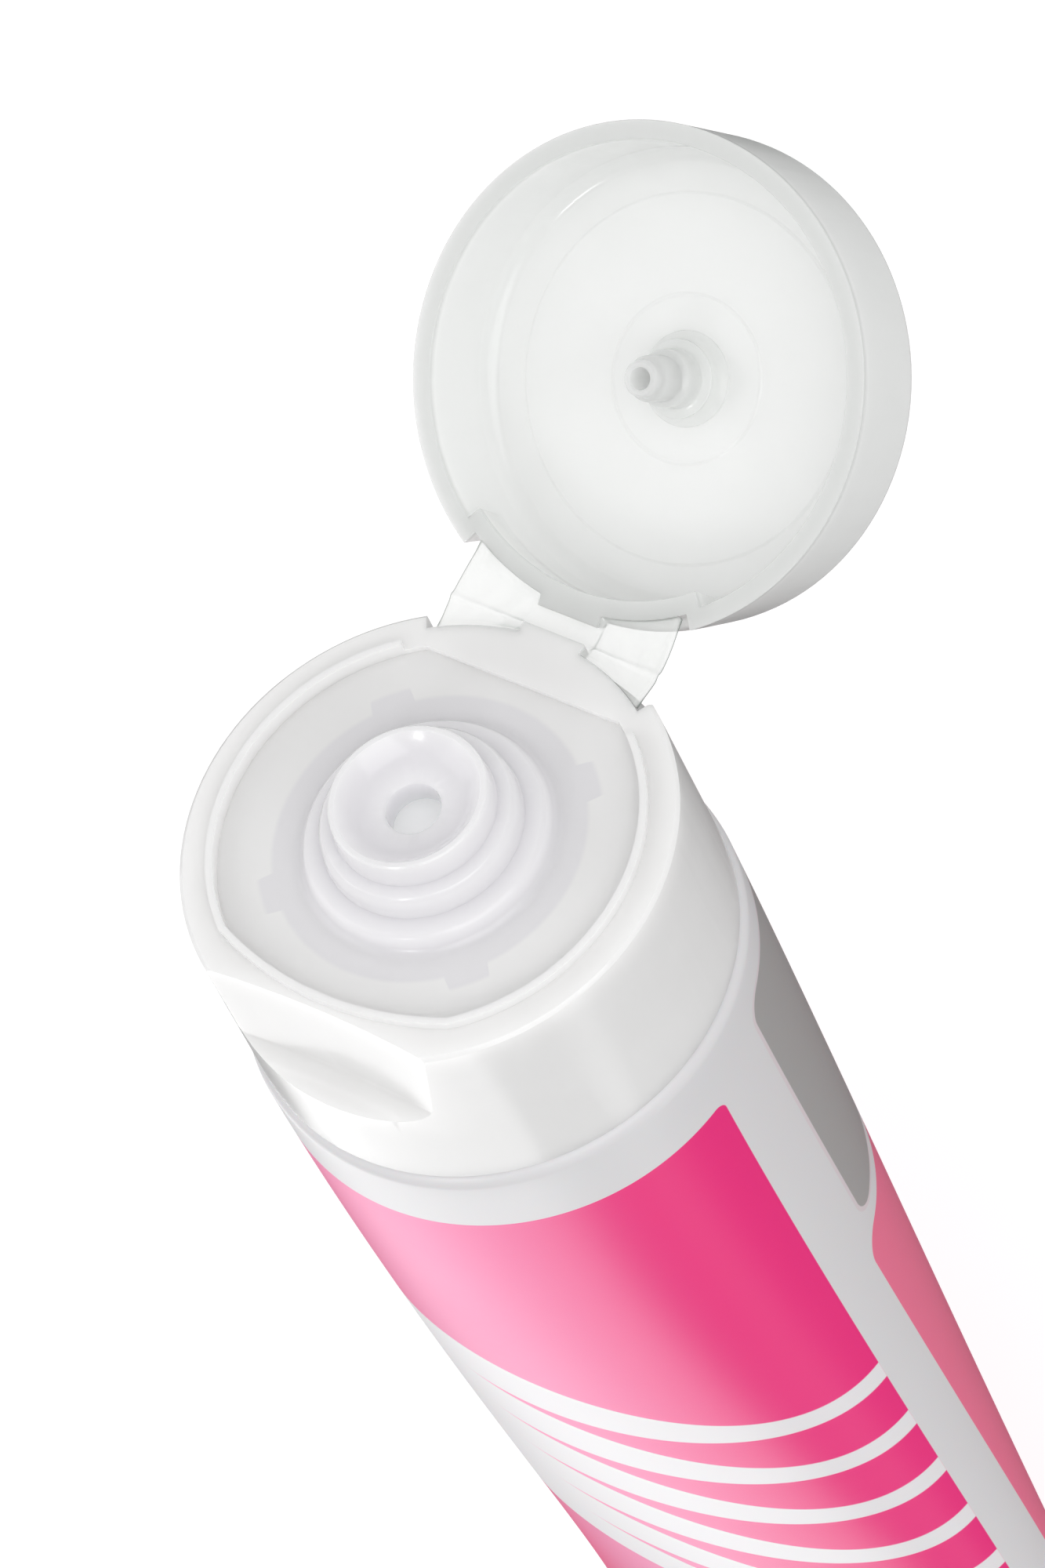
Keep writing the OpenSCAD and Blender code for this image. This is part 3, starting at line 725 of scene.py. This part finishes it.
def dressed_copy(node, name, material, body):
    """A merged, softly bevelled and smooth copy of a CAD node, which it stands for."""
    piece = placed(name, frame["nodes"][node].data.copy())
    bm = bmesh.new()
    bm.from_mesh(piece.data)
    bmesh.ops.remove_doubles(bm, verts=bm.verts, dist=1e-6)
    bmesh.ops.dissolve_limit(bm, angle_limit=math.radians(0.5), verts=bm.verts, edges=bm.edges)
    bm.to_mesh(piece.data)
    bm.free()
    piece.data.materials.clear()
    piece.data.materials.append(material)
    piece.data.shade_smooth()
    piece.data.set_sharp_from_angle(angle=math.radians(28))
    edge = piece.modifiers.new("edge", "BEVEL")
    edge.width = 0.12 * MM
    edge.segments = 2
    edge.limit_method = "ANGLE"
    edge.angle_limit = math.radians(35)
    edge.use_clamp_overlap = True
    edge.harden_normals = True
    even = piece.modifiers.new("even", "WEIGHTED_NORMAL")
    even.keep_sharp = True
    settled_mesh(piece)
    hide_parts(node)
    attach(piece, body)


dressed_copy("cap_base", "cap_moulding", cap_plastic, "tube")
dressed_copy("lid", "lid_moulding", lid_plastic, "lid")


# Hinge film

# Sizes of the film in millimetres; places along it are shares of the way from the cap to the lid
FILM_ROOT = 0.5
FILM_GAP = 0.12
FILM_THICK = 0.22
STRIP_EXTRA, HEM_EXTRA, ROOT_EXTRA, BEAD_EXTRA = 0.26, 0.12, 0.40, 0.35
GROOVE_DEEP = 0.12
BEAD_SIDE, BEAD_ALONG = 2.1, 0.93
CREASE_DEEP, CREASE_ALONG = 0.16, 0.22
FAN_HIGH = 0.04
ARCH_HIGH, STRIP_ARCH_HIGH = 0.30, 0.20
ACROSS_STEPS, ALONG_STEPS = 144, 48


def opened(x, z):
    """A point of the closed lid's side, turned to where it is with the lid open."""
    c, s = math.cos(math.radians(LID_OPEN)), math.sin(math.radians(LID_OPEN))
    x, z = x - HINGE_X, z - HINGE_Z
    return np.array([x * c + z * s + HINGE_X, -x * s + z * c + HINGE_Z])


def film_ends(y):
    """Where the film leaves the cap and where it enters the lid, at a distance y from its middle."""
    root = math.sqrt(SETBACK_R ** 2 - y * y) + FILM_GAP
    return np.array([root, -FILM_ROOT]), opened(root, RIM_GAP + FILM_ROOT)


def bump_at(value, middle, width):
    """A smooth bump of height 1."""
    return math.exp(-((value - middle) / width) ** 2)


def film_point(across, along, face):
    """A point of the film: across from -1 to 1, along from 0 to 1, face -0.5 or 0.5."""
    bow = math.sin(math.pi * along)
    y = across * (STRAP_REACH + STRAP_BULGE * bow)
    a, b = film_ends(y)
    run = (b - a) / np.linalg.norm(b - a)
    out = np.array([run[1], -run[0]])
    root = bump_at(along, 0, 0.10) + bump_at(along, 1, 0.10)
    strip = 1 / (1 + math.exp((abs(y) - STRIP_HALF_W) / 0.10))
    groove = bump_at(abs(y), STRIP_HALF_W + 0.25, 0.16) * bow
    hem = bump_at(abs(y), STRAP_REACH + STRAP_BULGE * bow - 0.2, 0.2)
    bead = bump_at(abs(y), BEAD_SIDE, 0.38) * bump_at(along, BEAD_ALONG, 0.10)
    thick = (FILM_THICK + ROOT_EXTRA * root + STRIP_EXTRA * strip - GROOVE_DEEP * groove
             + HEM_EXTRA * hem + BEAD_EXTRA * bead)
    fan = FAN_HIGH * math.sin(3.4 * y + 7 * along * math.copysign(1, y)) * bow * (1 - strip)
    crease = -CREASE_DEEP * bump_at(along, CREASE_ALONG + 0.02 * abs(y), 0.035) * (1 - strip)
    arch = (ARCH_HIGH + STRIP_ARCH_HIGH * strip) * bow
    p = a + (b - a) * along + out * (arch + fan + crease + 0.12 * bead + thick * face)
    return (p[0] * MM, y * MM, p[1] * MM)


def make_hinge():
    points, faces = [], []
    for face in (-0.5, 0.5):
        for j in range(ALONG_STEPS + 1):
            points += [film_point(2 * i / ACROSS_STEPS - 1, j / ALONG_STEPS, face) for i in range(ACROSS_STEPS + 1)]
    row = ACROSS_STEPS + 1
    size = row * (ALONG_STEPS + 1)
    for j in range(ALONG_STEPS):
        for i in range(ACROSS_STEPS):
            a = j * row + i
            faces.append((a, a + 1, a + row + 1, a + row))
            faces.append((size + a, size + a + row, size + a + row + 1, size + a + 1))
    rim = list(range(row))
    rim += [j * row + ACROSS_STEPS for j in range(1, ALONG_STEPS + 1)]
    rim += [ALONG_STEPS * row + i for i in range(ACROSS_STEPS - 1, -1, -1)]
    rim += [j * row for j in range(ALONG_STEPS - 1, 0, -1)]
    for a, b in zip(rim, rim[1:] + rim[:1]):
        faces.append((a, size + a, size + b, b))
    mesh = bpy.data.meshes.new("film")
    mesh.from_pydata(points, [], faces)
    mesh.materials.append(film_plastic)
    turn_out(mesh)
    mesh.shade_smooth()
    mesh.transform(CAP_AXES)
    film = placed("hinge_film", mesh)
    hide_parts("hinge_strip", "hinge_strap_left", "hinge_strap_right")
    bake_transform(film)


make_hinge()

for node, material in (("tube_head", head_plastic), ("gel_fill", gel)):
    data = frame["nodes"][node].data
    data.materials.clear()
    data.materials.append(material)

bpy.context.scene.view_settings.view_transform = "Standard"
